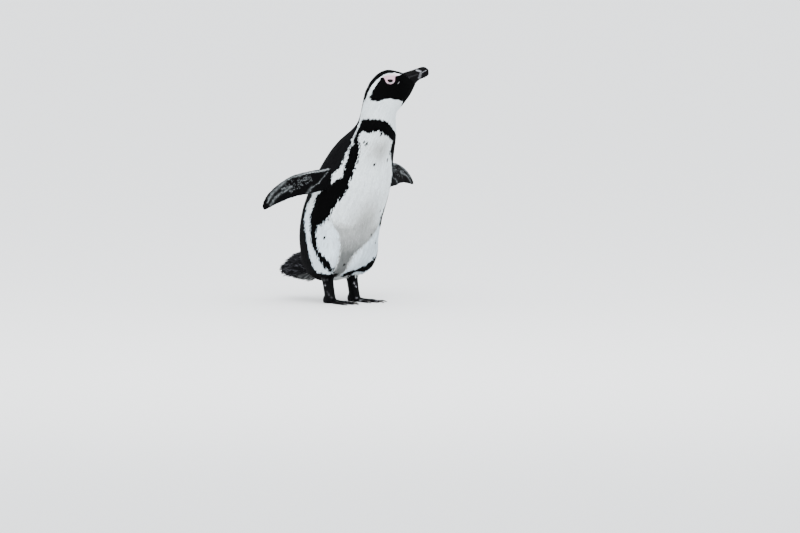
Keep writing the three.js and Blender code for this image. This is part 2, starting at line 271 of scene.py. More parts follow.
head_turn = math.radians(48)
head_forward = np.array((math.sin(head_turn), -math.cos(head_turn), 0))
head_left = np.array((math.cos(head_turn), math.sin(head_turn), 0))
head_axis = np.array((0.0, -neck_ahead, 0.0))


def head_chart(points):
    """Points in the head's own terms: how far ahead, how high and how far to its left."""
    away = points - head_axis
    return neck_ahead + away @ head_forward, points[:, 2], away @ head_left


def on_head(ahead, up, out):
    """The place that has these measures in the head's plane."""
    return head_axis + head_forward * (ahead - neck_ahead) + head_left * out + np.array((0, 0, up))


def bird_mm(points):
    """Millimetres from the hips, for places in metres; metres() turns them back."""
    return (np.asarray(points, float) - np.array(hips)) * 1000


def metres(points):
    return np.asarray(points, float) / 1000 + np.array(hips)


def read(items, name, width=3, kind=np.float32):
    """One property of each of a mesh's items, as rows of so many values."""
    values = np.empty(len(items) * width, kind)
    items.foreach_get(name, values)
    return values.reshape(-1, width)


def corners_of(mesh):
    return read(mesh.vertices, "co").astype(float)


def normals_of(mesh):
    return read(mesh.vertex_normals, "vector").astype(float)


def set_corners(mesh, values):
    mesh.vertices.foreach_set("co", np.asarray(values, np.float32).ravel())
    mesh.update()


def within(outline, first, second):
    """Which of the points (first, second) lie inside a closed outline."""
    inside = np.zeros(len(first), bool)
    for (a, b), (c, d) in zip(outline, outline[1:] + outline[:1]):
        if b != d:
            crosses = (b > second) != (d > second)
            inside ^= crosses & (first < (c - a) * (second - b) / (d - b) + a)
    return inside


@contextmanager
def editing(whole=True):
    """Edit mode for the piece in hand, with all of it or only its chosen faces selected."""
    bpy.ops.object.mode_set(mode="EDIT")
    if whole:
        bpy.ops.mesh.select_all(action="SELECT")
    else:
        bpy.ops.mesh.select_mode(type="FACE")
    yield
    bpy.ops.object.mode_set(mode="OBJECT")


def join_copies(names, title):
    """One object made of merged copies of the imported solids, grown until neighbours touch."""
    bpy.ops.object.select_all(action="DESELECT")
    for name in names:
        copy = bpy.data.objects.new(f"{title}_{name}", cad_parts[name].data.copy())
        bpy.context.collection.objects.link(copy)
        copy.select_set(True)
        bpy.context.view_layer.objects.active = copy
    with editing():
        bpy.ops.mesh.remove_doubles(threshold=1e-6)
        bpy.ops.mesh.normals_make_consistent(inside=False)
        bpy.ops.transform.shrink_fatten(value=closing)
    bpy.ops.object.join()
    joined = bpy.context.object
    joined.name = title
    joined.data.name = title
    joined.data.materials.clear()
    return joined


def hold(piece):
    """Selects one piece alone, for the operators that follow."""
    bpy.ops.object.select_all(action="DESELECT")
    piece.select_set(True)
    bpy.context.view_layer.objects.active = piece


def choose(mesh, mask):
    """Selects the faces whose corners all lie in the mask, with edit mode left off."""
    corners = read(mesh.loops, "vertex_index", 1, int)[:, 0]
    starts = read(mesh.polygons, "loop_start", 1, int)[:, 0]
    chosen = np.minimum.reduceat(mask[corners].astype(np.int8), starts).astype(bool)
    mesh.vertices.foreach_set("select", np.zeros(len(mesh.vertices), bool))
    mesh.edges.foreach_set("select", np.zeros(len(mesh.edges), bool))
    mesh.polygons.foreach_set("select", chosen)


def soften(piece, mask, repeat):
    """Relaxes the chosen part of a piece."""
    choose(piece.data, mask)
    with editing(whole=False):
        bpy.ops.mesh.vertices_smooth(factor=0.5, repeat=repeat)


def refine(piece, mask):
    """Halves the quads of the chosen part of a piece."""
    choose(piece.data, mask)
    with editing(whole=False):
        bpy.ops.mesh.subdivide(number_cuts=1, smoothness=0.6)


# Which solid each place belongs to, read from the solids themselves.
solid_corners, solid_faces, solid_owner = [], [], []
for number, name in enumerate(flesh):
    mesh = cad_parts[name].data
    start = len(solid_corners)
    solid_corners.extend(vertex.co.copy() for vertex in mesh.vertices)
    solid_faces.extend([start + v for v in face.vertices] for face in mesh.polygons)
    solid_owner.extend([number] * len(mesh.polygons))
solid_tree = BVHTree.FromPolygons(solid_corners, solid_faces)
solid_owner = np.array(solid_owner)


def owners(points):
    return np.array([solid_owner[solid_tree.find_nearest(point)[2]] for point in points])


def surveyed(piece):
    """For each corner of a piece: its solid, its place, and whether it is on a foot or shank."""
    corners = corners_of(piece.data)
    owner, place = owners(corners), bird_mm(corners)
    return owner, place, (owner >= FOOT_RIGHT) | ((owner >= LEG_RIGHT) & (place[:, 2] < shank_top))


skin = join_copies(flesh, "skin")
skin.data.remesh_voxel_size = weave
skin.data.use_remesh_fix_poles = False
bpy.ops.object.voxel_remesh()
owner, place, is_foot = surveyed(skin)
is_flipper = (owner == FLIPPER_RIGHT) | (owner == FLIPPER_LEFT)
is_body = ~is_foot & ~is_flipper
belly_top = 200
for part, times in (
    (is_body, 14), (is_body & (place[:, 2] < belly_top), 12), (is_flipper, 5), (is_foot, 2),
):
    soften(skin, part, times)
refine(skin, is_foot & (owner >= FOOT_RIGHT))
owner, place, is_foot = surveyed(skin)
soften(skin, (owner >= FOOT_RIGHT) | (owner == HEAD), 3)

# Markings of the breast and back. Each line gives places along the spine (mm) and, there, how many
# degrees round from the breast's middle the edge runs. Angles to the bird's right are minus.
breast_band_top = (
    (-140, 382), (-115, 387), (-91, 397), (-67, 403), (-50, 404), (-25, 405), (-2, 394), (23, 379),
    (50, 369), (80, 370), (115, 377), (140, 381),
)
breast_band_low = (
    (-140, 366), (-93, 365), (-84, 370), (-63, 373), (-44, 381), (-24, 378), (-6, 371), (16, 361),
    (30, 347), (180, 338),
)
front_edge_right = (
    (8, 34), (17, 39), (32, 41), (59, 53), (71, 67), (89, 76), (111, 79), (129, 77), (145, 68),
    (158, 65), (185, 62), (215, 58), (242, 52), (269, 54), (296, 54), (311, 56), (334, 64),
    (351, 81), (362, 92), (380, 96),
)
front_edge_left = (
    (8, 26), (20, 33), (37, 35), (53, 38), (68, 45), (89, 60), (111, 66), (129, 54), (144, 41),
    (166, 33), (182, 32), (195, 36), (208, 40), (231, 43), (260, 44), (281, 44), (296, 41),
    (311, 36), (327, 26), (347, 17), (365, 16), (380, 16),
)
stripe_front = (
    (0, 36), (18, 42), (46, 63), (73, 79), (93, 87), (119, 92), (141, 96), (162, 97), (187, 98),
    (207, 95), (225, 88), (238, 81), (249, 76), (267, 70), (278, 72), (290, 75), (303, 77),
    (316, 82), (330, 88), (348, 97),
    (363, 107), (377, 112), (384, 115), (392, 120),
)
stripe_back = (
    (0, 62), (23, 80), (55, 89), (90, 97), (114, 103), (133, 109), (162, 113), (200, 108),
    (239, 92), (258, 87), (275, 82), (290, 81), (303, 83), (320, 88), (332, 92), (343, 98.5),
    (357, 107.5), (372, 116.5), (385, 125), (400, 139), (420, 144), (450, 146),
)
left_side_share = 0.93
stripe_gap = (214, 236)   # the stripe is broken off there, under the flipper's root
left_fringe = ((-8, 10), (4, 20), (20, 26), (29, 35), (32, 46), (36, 58))   # angle, reach
spots = (  # reach along the spine, angle, radius (mm)
    (375, -32, 2.9), (352, -66, 2.7), (350, -58, 2.9), (313, -20, 3.4), (322, 14, 2.9),
    (108, -64, 2.9), (195, 23, 2.6), (126, 15, 2.6), (99, 31, 2.7), (44, -25, 3.3),
)
fold_right = ((20, -38), (35, -39), (74, -37), (103, -39), (129, -44), (150, -57), (170, -66))
fold_left = (
    (24, -11), (47, -19), (64, -17), (76, -13), (90, -3), (104, 6), (120, 20), (140, 34), (165, 48),
)
# Markings of the head, as places ahead and up in its profile.
crown_edge = (
    (96, 425), (103, 434), (108, 441), (113, 451), (118.5, 463), (124, 477), (130, 487.5),
    (139, 497.5), (150, 507), (160, 511.6), (169, 513.8), (178, 514.2), (188, 512.2),
    (193, 510.8), (200, 510),
)
mask_outline = [
    (193, 510.2), (186.6, 509.8), (181.6, 509.2), (179.7, 507.5), (179.7, 502), (176, 500),
    (162, 500), (157, 502), (156.3, 505.3), (153.2, 505.9), (149.4, 504.7), (146.2, 498.3),
    (142.4, 493.3), (137.4, 485.7), (131, 476.8), (129, 468), (124, 463.5), (123.5, 460.3),
    (127.3, 454.6), (133.6, 452), (148.7, 454), (153.8, 457), (169, 459), (176.5, 456.5),
    (188, 455.2), (196, 450.5), (192.3, 441.3), (215, 440), (250, 480), (240, 530), (196, 518),
]
bare_outline = [
    (152.5, 505.5), (157.5, 508.5), (165, 511.4), (173, 513.6), (180.3, 514), (188, 512.4),
    (192.5, 510.4), (187, 509), (182, 508.2), (179.8, 505.6), (179.6, 500), (178.8, 495.5),
    (175.7, 492), (169.5, 490.5), (163.3, 492), (159.8, 495.5), (158.4, 499.5), (156.3, 503),
]
white = np.array((0.69, 0.75, 0.77))
# A bluish white: painted sky light on the thighs.
sky_tinted_white = np.array((0.61, 0.70, 0.76))
# A warm grey: the white under painted shade.
shaded_warm_white = np.array((0.38, 0.395, 0.388))
black = np.array((0.0005, 0.0005, 0.0006))
slate = np.array((0.0030, 0.0030, 0.0034))
bare_pink = np.array((0.50, 0.30, 0.37))
bare_white = np.array((0.80, 0.75, 0.79))
foot_black = np.array((0.0006, 0.0006, 0.0009))
foot_grey = np.array((0.40, 0.40, 0.43))


def edge(line, at):
    """Where a marking's edge runs at each place along it."""
    place, value = zip(*line)
    return np.interp(at, place, value)


def between(first, second, share):
    return first + (second - first) * share


def ramp(values, start, length):
    """0 up to a start, then rising to 1 over a length; a length below 0 falls the other way."""
    return np.clip((values - start) / length, 0, 1)


def past_folds(points):
    """How far round the body (mm) points lie beyond the fold of the right and the left thigh."""
    reach, angle, _ = body_chart(points)
    girth = 75
    return (
        np.radians(edge(fold_right, reach) - angle) * girth,
        np.radians(angle - edge(fold_left, reach)) * girth,
    )


def body_plumage(points):
    """The colour that the coat of the trunk and neck has at each place."""
    reach, angle, _ = body_chart(points)
    side = np.abs(angle)
    right = angle < 0
    share = np.where(right, 1, left_side_share)
    front = np.where(right, edge(front_edge_right, reach), edge(front_edge_left, reach))
    stripe_start = edge(stripe_front, reach) * share
    back_start = edge(stripe_back, reach) * np.where(reach > 380, 1, share)
    # The black: flank band, fringe over the left leg, painted shade under the body behind the right
    # leg, breast band.
    top, low = edge(breast_band_top, angle), edge(breast_band_low, angle)
    broken = (reach > stripe_gap[0]) & (reach < stripe_gap[1]) & (side < back_start)
    band = (side > front) & ((side < stripe_start) | broken) & (reach < top) & (reach > 8)
    fringe = edge(left_fringe, angle) - reach
    band |= (angle > -4) & (angle < 40) & (fringe > 0) & (points[:, 2] > 57)
    # Painted shade: black low under the body, behind the right leg.
    band |= (reach < 16) & (points[:, 1] > -30) & (points[:, 0] < -18)
    band |= (reach > low) & (reach < top) & (side < stripe_start)
    # The white: painted shade on the throat's foot and the belly between the thighs, painted bluish
    # sky light on the thighs, and a painted shadow in the fold.
    shaded = np.exp(-((angle + 18) / 30) ** 2 - ((reach - 345) / 26) ** 2)
    past_right, past_left = past_folds(points)
    below = ramp(reach, 165, -25)
    belly = np.clip(0.6 - past_right / 7, 0, 1) * np.clip(0.6 - past_left / 9, 0, 1)
    depth_share = 1.35 + 0.85 * ramp(reach, 125, -70)
    middle = belly * below + np.exp(-((angle + 4) / 26) ** 2) * (1 - below)
    shaded += middle * depth_share * ramp(reach, 260, -90)
    thighs = (1 - belly)[:, None] * below[:, None]
    # The left thigh is darkened by painted shade.
    coat = between(white, sky_tinted_white, thighs) * (1 - 0.15 * thighs * ~right[:, None])
    # A painted shadow along the right thigh's fold.
    fold_shade = 0.35 * np.exp(-(past_right / 2.5) ** 2)
    coat = coat * (1 - fold_shade * (reach > 20) * (reach < 160))[:, None]
    colour = between(coat, shaded_warm_white, np.clip(shaded, 0, 1)[:, None])
    colour *= (1 - 0.7 * np.clip(shaded - 1, 0, 1))[:, None]
    colour[band] = black
    colour[side > back_start] = slate
    # Painted shade: a nearly black patch low under the body, behind the right leg.
    vent, vent_radius = np.array((-38, 40, 56)), 11
    under = np.linalg.norm(points - vent, axis=1) < vent_radius
    colour[under] = between(slate, shaded_warm_white, 0.12)
    return colour


def on_spot(points):
    """Whether places lie on one of the few small black spots of the breast and belly."""
    reach, angle, _ = body_chart(points)
    girth = 80 - 35 * ramp(reach, 280, 100)
    found = np.zeros(len(points), bool)
    for spot_reach, spot_angle, radius in spots:
        away = np.hypot((reach - spot_reach) * 0.8, np.radians(angle - spot_angle) * girth)
        found |= away < radius
    return found


def from_line(line, first, second):
    """How far the points (first, second) lie from a bent line."""
    nearest = np.full(len(first), 1e9)
    place = np.stack((first, second), 1)
    for start, stop in zip(np.array(line[:-1], float), np.array(line[1:], float)):
        run = stop - start
        share = np.clip(((place - start) @ run) / (run @ run), 0, 1)[:, None]
        nearest = np.minimum(nearest, np.linalg.norm(place - start - run * share, axis=1))
    return nearest


def head_plumage(points):
    """The colour that the head's coat and bare skin have at each place."""
    ahead, up, out = head_chart(points)
    colour = np.tile(white, (len(points), 1))
    nape = (ahead < 125) & (np.abs(out) < 4.5)
    colour[(up > edge(crown_edge, ahead)) | nape] = black
    colour[within(mask_outline, ahead, up)] = black
    return colour


def is_bare_face(points, beyond=0):
    ahead, up, out = head_chart(points)
    found = within(bare_outline, ahead, up)
    if beyond:
        found |= from_line(bare_outline + bare_outline[:1], ahead, up) < beyond
    return found & (np.abs(out) > 9)


# The flippers: root, direction to the tip and direction of the leading edge; the face that looks
# forward is the underside, which is blackish and mottled with white.
flipper_frames = {}
for number, side, root_up, tip, lead in (
    (FLIPPER_RIGHT, -66, 300, (-123, 100, -94), (-0.29, 0.34, 0.89)),
    (FLIPPER_LEFT, 66, 287, (150, 66, -42), (0.1, 0.34, 0.9)),
):
    tip = unit(np.array(tip, float))
    lead = np.array(lead, float)
    lead = unit(lead - tip * (lead @ tip))
    under = np.cross(tip, lead)
    under = under if under[1] < 0 else -under
    flipper_frames[number] = np.array((side, -78.0, root_up)), tip, lead, under

flipper_streaks = (  # along and towards the lead (mm), width, paleness
    (((14, 9), (31, 15), (50, 23), (62, 27)), 1.3, 0.42),
    (((62, 27), (72, 30), (92, 35), (108, 37)), 1.4, 0.20),
    (((50, 26), (72, 33), (92, 37), (113, 38)), 2.6, 0.10),
    (((14, 7), (34, 0), (47, -5), (67, -7), (74, -12)), 0.8, 0.17),
    (((64, -5), (74, -8), (82, -13)), 2.2, 0.09),
    (((110, 35), (129, 32), (145, 28), (159, 21)), 3.2, 0.14),
    (((158, 21), (166, 15)), 1.1, 0.26),
    (((103, 19), (112, 22), (124, 24)), 1.5, 0.16),
    (((103, 18), (119, 17), (131, 18), (145, 16), (163, 7)), 2.2, 0.14),
    (((60, 13), (70, 16), (80, 19)), 1.5, 0.08),
)
flipper_rear = ((20, -31), (52, -24), (80, -16), (100, -8), (124, -2), (146, 0), (170, 2))


def flipper_plumage(points, number, seed):
    """Blackish, with pale streaks and speckles below and a white rear edge above."""
    root, tip, lead, under = flipper_frames[number]
    away = points - root
    along, ahead, face = away @ tip, away @ lead, away @ under
    pale = np.zeros(len(points))
    for line, width, amount in flipper_streaks:
        pale = np.maximum(pale, amount * np.exp(-(from_line(line, along, ahead) / width) ** 2))
    chance = np.random.default_rng(seed).random(len(points))
    speckled = (along > 55) & (along < 112) & (ahead > 6) & (ahead < 30) & (chance > 0.84)
    pale = np.where(speckled, np.maximum(pale, 0.07), pale)
    pale = pale * (0.25 + 1.1 * chance) * (face > 0)
    rear = edge(flipper_rear, along)
    fringe = (face < 0) & (ahead < rear + 3) & (along > 60) & (along < 160)
    colour = between(black * 2, white, np.clip(pale, 0, 1)[:, None])
    colour[fringe] = between(slate, white, 0.4)
    return colour


leg_marks = (  # middle, radius (mm), paleness: crisp spots on the shanks, faint blotches high on the right one, and a painted sheen down its front to the toes
    ((30.8, -28.9, 41.4), 2.0, 0.8), ((33.5, -31.5, 34.3), 1.8, 0.8),
    ((-47.3, -20.3, 40.7), 1.8, 0.7), ((-48.3, -17.5, 51.9), 3.4, 0.07),
    ((-45.4, -24.1, 53.9), 3.0, 0.06), ((-46.4, -25.9, 27.6), 2.2, 0.06),
    # A painted sheen down the front of the right shank to its toes.
    ((-45.3, -28.9, 21.1), 2.8, 0.08),
    ((-42.4, -33.9, 14.6), 3.0, 0.07), ((-34.0, -41.0, 9.1), 3.0, 0.06),
    ((31.2, -36.0, 8.2), 3.4, 0.20), ((27.2, -52.0, 4.0), 4.0, 0.30),
)


def legs_and_feet(points, seed):
    """Black scaly skin with two crisp pale spots on a shank and greyish blotches on the toes."""
    rng = np.random.default_rng(seed)
    marks = list(leg_marks)
    blotches, toes_low, toes_high = 90, (-80, -112, 3), (62, -46, 14)
    middles = rng.uniform(toes_low, toes_high, (blotches, 3))
    for middle, size in zip(middles, rng.uniform(2, 5, blotches)):
        marks.append((middle, size, 0.34 if middle[0] > 0 else 0.06))
    pale = np.zeros(len(points))
    for middle, size, amount in marks:
        gap = np.linalg.norm(points - np.array(middle), axis=1) / size
        pale = np.maximum(pale, np.clip(2.2 - 2 * gap, 0, 1) * amount)
    return between(foot_black, foot_grey, pale[:, None])


def plumage(points, owner, seed):
    """The colour of coat and skin at each place, by the solid that the place belongs to."""
    colour = body_plumage(points)
    reach, angle, _ = body_chart(points)
    neck_end = np.where(np.abs(angle) > 110, 418, 432)
    on_the_head = (owner == HEAD) | ((owner == NECK) & (reach > neck_end))
    colour[on_the_head] = head_plumage(points[on_the_head])
    for number in (FLIPPER_RIGHT, FLIPPER_LEFT):
        mine = owner == number
        colour[mine] = flipper_plumage(points[mine], number, seed)
    tail = owner == TAIL
    under_tail = tail & (points[:, 2] < 62 - 0.35 * (points[:, 1] - 60)) & (points[:, 1] < 92)
    colour[tail] = slate
    colour[under_tail] = between(slate, shaded_warm_white, 0.06)
    shank = (owner >= FOOT_RIGHT) | ((owner >= LEG_RIGHT) & (points[:, 2] < shank_top - 4))
    colour[shank] = legs_and_feet(points[shank], 5)
    return colour


# The coat's depth in each place: nothing on feet, shanks and bare face.
coat_depth = {
    TRUNK: 2.6, NECK: 2.2, HEAD: 1.1, TAIL: 2.2, FLIPPER_RIGHT: 0.7, FLIPPER_LEFT: 0.7,
    LEG_RIGHT: 2.6, LEG_LEFT: 2.6, FOOT_RIGHT: 0, FOOT_LEFT: 0,
}
patch_margin = 3.5
for _ in range(2):
    refine(skin, is_bare_face(bird_mm(corners_of(skin.data)), patch_margin))
owner, place, is_foot = surveyed(skin)
bare = is_bare_face(place)
depth = np.array([coat_depth[number] for number in range(len(flesh))])[owner]
ahead, up, out = head_chart(place)
bill_base = 214
depth = np.where(owner == HEAD, depth * np.clip((bill_base - ahead) / 24, 0.25, 1), depth)
depth = np.where(owner == TAIL, depth + 3.2 * ramp(place[:, 1], 116, -24), depth)
depth = np.where(bare, 0.1, depth)
depth = np.where(is_foot, closing * 1000, depth)


def neighbour_mean(mesh, values, repeat):
    """Values at a mesh's corners, each made the mean of its own and its neighbours'."""
    pairs = read(mesh.edges, "vertices", 2, int)
    count = np.bincount(pairs.ravel(), minlength=len(values))
    for _ in range(repeat):
        total = np.bincount(pairs[:, 0], values[pairs[:, 1]], len(values))
        total += np.bincount(pairs[:, 1], values[pairs[:, 0]], len(values))
        values = (values + total) / (1 + count)
    return values


depth = neighbour_mean(skin.data, depth, 3)
skin_normal = normals_of(skin.data)
place = place - skin_normal * depth[:, None]

# Under the coat each thigh swells a little, and a soft fold parts it from the belly.
reach, _, _ = body_chart(place)
past_right, past_left = past_folds(place)
swell = 2.0 * np.exp(-((past_right - 16) / 13) ** 2) - 5.0 * np.exp(-(past_right / 5.5) ** 2)
swell += 1.0 * np.exp(-((past_left - 16) / 13) ** 2) - 3.6 * np.exp(-(past_left / 6) ** 2)
swell *= ramp(reach, 15, 30) * ramp(reach, 172, -30)
swell *= ((owner == TRUNK) | (owner == LEG_RIGHT) | (owner == LEG_LEFT)) & ~is_foot
place = place + skin_normal * neighbour_mean(skin.data, swell, 2)[:, None]

# Fine folds of the bare skin over the eye: they run round the eye and fade out at the patch's edge.
eye_ahead, eye_up, eye_out, eye_radius = 169, 497.5, 15.3, 9.5
ahead, up, out = head_chart(place)
round_eye = np.arctan2(up - eye_up, ahead - eye_ahead)
from_eye = np.hypot(ahead - eye_ahead, up - eye_up)
bare_share = neighbour_mean(skin.data, bare.astype(float), 2)
folds = 0.17 * np.sin(from_eye * 2.1 + 1.4 * np.sin(round_eye * 5)) * bare_share
folds += 0.10 * np.sin(ahead * 3.3 + 1.3 * np.sin(up * 2.1)) * bare_share
place = place + skin_normal * folds[:, None]
set_corners(skin.data, metres(place))

skin_colour = plumage(place, owner, 7)
whiter = np.clip((up - 507) / 8 + 0.8 * ramp(ahead, 179, 12), 0, 1)[:, None]
# The bare skin is made darker in the troughs of its folds and lighter on their ridges: painted
# shade and painted light.
bare_tone = between(bare_pink, bare_white, whiter) * (1 + 0.6 * folds[:, None])
skin_colour[bare] = bare_tone[bare]


def store_colour(mesh, name, colour):
    layer = mesh.color_attributes.new(name=name, type="FLOAT_COLOR", domain="POINT")
    values = np.ones((len(mesh.vertices), 4), np.float32)
    values[:, :3] = np.clip(colour, 0, 1)
    layer.data.foreach_set("color", values.ravel())


def stored(name):
    return lambda paint: paint.node("ShaderNodeAttribute", {"attribute_name": name})


def skin_look(paint):
    return stored("skin_tone")(paint).scaled(grain(paint, 700, 3) * 0.5 + 0.75)


def skin_pores(paint):
    return grain(paint, 1500, 1, "ShaderNodeTexVoronoi") + grain(paint, 500, 3) * 0.5


def complete(piece, material, slot, *nodes):
    """Gives the piece in hand its material, smooth shading and body, and hides the solids it stands
    for; the slot is not used.
    """
    piece.data.materials.append(material)
    bpy.ops.object.shade_smooth()
    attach(piece, "root")
    if nodes:
        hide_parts(*nodes)


bird_skin = finish(
    "bird_skin", lambda paint: grain(paint, 400) * 0.2 + 0.55, skin_look, skin_pores, 0.0002,
    Specular_IOR_Level=0.06,
)
store_colour(skin.data, "skin_tone", skin_colour)
complete(skin, bird_skin, "face_skin", *flesh)
skin_tree = BVHTree.FromPolygons(
    [Vector(corner) for corner in corners_of(skin.data)],
    [list(face.vertices) for face in skin.data.polygons],
)

# ------------------------------------------------------------------ the coat
# Short stiff feathers, each a thin closed vane rooted in the skin and lying tail-ward over the next
# ones. Roots are spread evenly; a vane's colour is the marking's colour where its tip lies.


def named(tree, kind, **settings):
    made = tree.nodes.new(kind)
    for name, value in settings.items():
        setattr(made, name, value)
    return made


def sowing_nodes():
    """Geometry nodes that scatter points evenly over the part of a mesh marked "sow", and keep the
    surface's direction at each. Returned with the names of their spacing and seed sockets."""
    tree = bpy.data.node_groups.new("sowing", "GeometryNodeTree")
    tree.interface.new_socket("Geometry", in_out="INPUT", socket_type="NodeSocketGeometry")
    spacing = tree.interface.new_socket("Spacing", in_out="INPUT", socket_type="NodeSocketFloat")
    seed = tree.interface.new_socket("Seed", in_out="INPUT", socket_type="NodeSocketInt")
    tree.interface.new_socket("Geometry", in_out="OUTPUT", socket_type="NodeSocketGeometry")
    start, end = named(tree, "NodeGroupInput"), named(tree, "NodeGroupOutput")
    sow = named(tree, "GeometryNodeInputNamedAttribute", data_type="FLOAT")
    sow.inputs["Name"].default_value = "sow"
    spread = named(tree, "GeometryNodeDistributePointsOnFaces", distribute_method="POISSON")
    spread.inputs["Density Max"].default_value = 6e6   # in a square metre: more than ever fit
    keep = named(tree, "GeometryNodeStoreNamedAttribute", data_type="FLOAT_VECTOR", domain="POINT")
    keep.inputs["Name"].default_value = "lie"
    points = named(tree, "GeometryNodePointsToVertices")
    for source, target in (
        (start.outputs["Geometry"], spread.inputs["Mesh"]),
        (sow.outputs["Attribute"], spread.inputs["Selection"]),
        (start.outputs["Spacing"], spread.inputs["Distance Min"]),
        (start.outputs["Seed"], spread.inputs["Seed"]),
        (spread.outputs["Points"], keep.inputs["Geometry"]),
        (spread.outputs["Normal"], keep.inputs["Value"]),
        (keep.outputs["Geometry"], points.inputs["Points"]),
        (points.outputs["Mesh"], end.inputs["Geometry"]),
    ):
        tree.links.new(source, target)
    return tree, spacing.identifier, seed.identifier


sowing, spacing_socket, seed_socket = sowing_nodes()
seedbed = bpy.data.objects.new("seedbed", skin.data.copy())
bpy.context.collection.objects.link(seedbed)
seedbed.data.attributes.new("sow", "FLOAT", "POINT")
sower = seedbed.modifiers.new("sower", "NODES")
sower.node_group = sowing


def scatter(mask, spacing, seed):
    """Evenly spread root places (mm) on the masked part of the skin, and the normals there."""
    seedbed.data.attributes["sow"].data.foreach_set("value", mask.astype(np.float32))
    sower[spacing_socket] = spacing / 1000
    sower[seed_socket] = seed
    seedbed.update_tag()
    seedbed.data.update()
    points = seedbed.evaluated_get(bpy.context.evaluated_depsgraph_get()).data
    normals = read(points.attributes["lie"].data, "vector").astype(float)
    return bird_mm(corners_of(points)), normals


def on_skin(points):
    """The nearest places on the skin, and its direction there."""
    hits = [skin_tree.find_nearest(Vector(point)) for point in metres(points)]
    return bird_mm([hit[0] for hit in hits]), np.array([hit[1] for hit in hits])


def lying(roots, normals, flow, seed, stray):
    """The flow along the skin at each root, with a gentle wave and a little straying."""
    rng = np.random.default_rng(seed)
    along = unit(flow - normals * (flow * normals).sum(1, keepdims=True))
    across = np.cross(normals, along)
    wave_turn = 5
    wave = np.sin(roots[:, 0] / 9 + 2 * np.sin(roots[:, 2] / 23)) * np.sin(roots[:, 2] / 13)
    turn = np.radians(wave_turn * wave + rng.normal(0, stray, len(roots)))[:, None]
    return unit(along * np.cos(turn) + across * np.sin(turn))


# A vane's corners: root, left, ridge and right of two rows, and tip. The rows give their share of
# the length, of the width and of the tip's rise. Then come the faces, closed below, and the
# corners' places on a vane's patch of the unwrap.
vane_rows = ((0.42, 0.94, 0.40), (0.80, 0.74, 0.82))
vane_shades = (0.9, 0.94, 0.9, 1.0, 1.04, 1.0, 1.06)      # behind the root, lighter towards the ridge and the tip; the root's painted shade is given apart
root_depth = 0.35
vane_faces = np.array((
    (0, 3, 2), (0, 2, 1), (1, 2, 5), (1, 5, 4), (2, 3, 6), (2, 6, 5), (4, 5, 7), (5, 6, 7),
    (0, 1, 3), (1, 4, 6), (1, 6, 3), (4, 7, 6),
))
patch_places = np.array((
    (0.5, 0), (0, 0.42), (0.5, 0.46), (1, 0.42), (0.08, 0.8), (0.5, 0.84), (0.92, 0.8), (0.5, 1),
))
patch_side = 0.003


def piece_from(title, corners, faces, colour, sheet, material):
    """Builds a finished mesh piece with its tones and its unwrap."""
    mesh = bpy.data.meshes.new(title)
    mesh.from_pydata(metres(corners).tolist(), [], faces.tolist())
    store_colour(mesh, "tone", colour)
    layer = mesh.uv_layers.new(name="OFBake")
    layer.data.foreach_set("uv", sheet[faces.ravel()].astype(np.float32).ravel())
    mesh.materials.append(material)
    piece = bpy.data.objects.new(title, mesh)
    bpy.context.collection.objects.link(piece)
    hold(piece)
    bpy.ops.object.shade_smooth_by_angle(angle=math.radians(62))
    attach(piece, "root")


def spread_out(places):
    """Fits the roots' places on the unwrap into nearly the whole of the unit square."""
    low, high = places.min(0), places.max(0)
    return 0.006 + (places - low) / (high - low) * (0.988 - patch_side)


def grow(title, roots, normals, flow, long, wide, rise, colour, sheet, material, seed,
         ragged=0.25, root_shade=0.72, camber=0.12, stiff=0.0):
    """Grows one vane from each root: its length, width and how high its tip stands, all in mm.
    A stiff vane keeps its straight run where the skin bends away below it."""
    rng = np.random.default_rng(seed)
    count = len(roots)
    long = long * rng.uniform(0.82, 1.16, count)
    wide = wide * rng.uniform(0.85, 1.15, count)
    rise = rise * (1 + ragged * rng.uniform(-0.6, 1.0, count))
    corners = np.empty((count, 8, 3))
    corners[:, 0] = roots - normals * root_depth
    for row, (share, breadth, lift) in enumerate((*vane_rows, (1.0, 0, 1.0))):
        straight = roots + flow * (long * share)[:, None]
        place, normal = on_skin(straight)
        place = place * (1 - stiff) + straight * stiff + normal * (rise * lift)[:, None]
        if not breadth:
            corners[:, 7] = place
            continue
        across = unit(np.cross(normal, flow)) * (wide * breadth / 2)[:, None]
        dip = normal * (wide * camber)[:, None]
        corners[:, 1 + row * 3] = place + across - dip
        corners[:, 2 + row * 3] = place
        corners[:, 3 + row * 3] = place - across - dip
    tone = colour * rng.normal(1, 0.05, count)[:, None]
    # Each root is darkened as painted shade, where it lies under the vanes before it.
    tones = tone[:, None] * np.array((root_shade, *vane_shades))[None, :, None]
    places = spread_out(sheet)[:, None] + patch_places[None] * patch_side
    faces = (vane_faces[None] + (np.arange(count) * 8)[:, None, None]).reshape(-1, 3)
    piece_from(
        title, corners.reshape(-1, 3), faces, tones.reshape(-1, 3), places.reshape(-1, 2),
        material,
    )


def coat_look(paint):
    return stored("tone")(paint).scaled(grain(paint, 260, 2) * 0.16 + 0.92)


def barbs(paint):
    return grain(paint, 1800, 1)


def clusters(points, size):
    """A chance value from -1 to 1 that feathers growing close together share."""
    cell = np.floor(points / size).astype(int)
    mixed = (cell[:, 0] * 73856093) ^ (cell[:, 1] * 19349663) ^ (cell[:, 2] * 83492791)
    return (mixed % 1009) / 504.0 - 1


plume = finish("plumage", 0.75, coat_look, barbs, 0.0002, Specular_IOR_Level=0.03)


def tailward(points):
    """The coat's lie on body and head: away from the bill, turning tail-ward under the belly."""
    _, _, run = body_chart(points)
    low = ramp(points[:, 2], 105, -60)[:, None]
    return unit(-run * (1 - 0.75 * low) + np.array((0.0, 1.0, -0.25)) * 0.75 * low)


